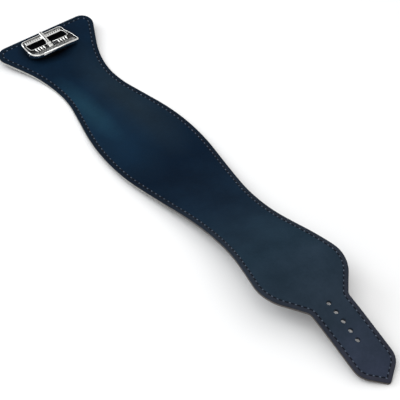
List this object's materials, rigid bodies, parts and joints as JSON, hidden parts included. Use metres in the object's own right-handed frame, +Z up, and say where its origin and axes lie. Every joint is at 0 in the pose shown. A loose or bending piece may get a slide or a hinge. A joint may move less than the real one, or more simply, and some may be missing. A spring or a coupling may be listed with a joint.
{
  "type": "contoured leather strap with prong buckle",
  "caption": "Wide contoured leather strap with a leather lining, sewn edges, a punched tapering tongue and an ornamental prong buckle on its flared end.",
  "frame": {"origin": "centre of the bounding box in plan, on the surface that the strap lies on", "axes": "+X from the buckle end to the tongue tip, +Y across the strap, +Z up out of the smooth outer leather"},
  "size_m": [0.5002, 0.096, 0.0285],
  "materials": {
    "outer_leather": "smooth dyed navy leather, soft sheen, burnished edge",
    "lining_leather": "matt dyed lining leather with a raw grey edge",
    "chape_leather": "thin dark dyed leather",
    "waxed_thread": "waxed navy thread with a slight glint",
    "polished_metal": "bright plated cast metal with blackened recesses"
  },
  "bodies": {
    "strap": {"outer_leather": "outer_leather", "lining_leather": "lining_leather", "edge_needle_thread": "waxed_thread", "edge_bobbin_thread": "waxed_thread", "chape": "chape_leather", "chape_thread": "waxed_thread"},
    "frame": {"buckle_frame": "polished_metal", "hinge_pin": "polished_metal"},
    "prong": {"prong": "polished_metal"}
  },
  "joints": [
    {"name": "frame_tilt", "type": "hinge", "parent": "strap", "child": "frame", "pos_m": [-0.22763, -0.003, 0.01035], "axis": [0, 1, 0], "range_deg": [0, 23]},
    {"name": "prong_swing", "type": "hinge", "parent": "frame", "child": "prong", "pos_m": [-0.22763, -0.003, 0.01035], "axis": [0, 1, 0], "range_deg": [0, 100]}
  ]
}
